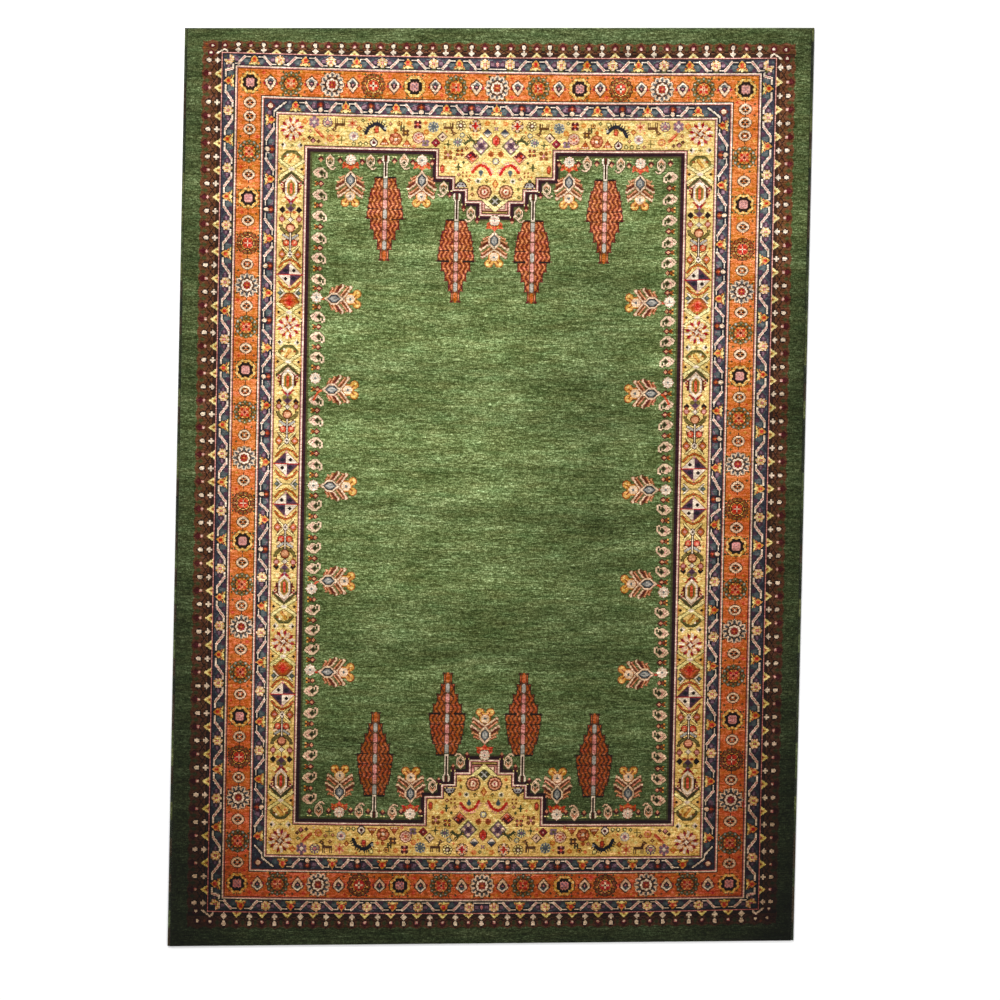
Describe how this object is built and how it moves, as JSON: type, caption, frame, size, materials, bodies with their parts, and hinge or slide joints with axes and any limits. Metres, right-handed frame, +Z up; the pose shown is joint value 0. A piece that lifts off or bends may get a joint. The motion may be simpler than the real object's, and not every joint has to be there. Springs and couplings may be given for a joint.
{
  "type": "handwoven rug",
  "caption": "Flat hand-knotted wool rug with nested patterned borders, a stepped medallion on each end border, trees and palmettes on a plain ground, and overcast side cords.",
  "frame": {"origin": "on the floor, under the middle of the rug's bounding box", "axes": "+Y along the rug's length, towards the end that is at the top of the picture; +X across it to the right; +Z up, out of the pile"},
  "size_m": [2.086, 3.0253, 0.01],
  "materials": {
    "wool_pile": "knotted wool pile in many vegetable-dyed colours, on a woven foundation",
    "selvedge_wool": "dark green wool wrapped round the side warps"
  },
  "bodies": {
    "root": {"rug_body": "wool_pile", "selvedge_left": "selvedge_wool", "selvedge_right": "selvedge_wool"}
  },
  "joints": []
}
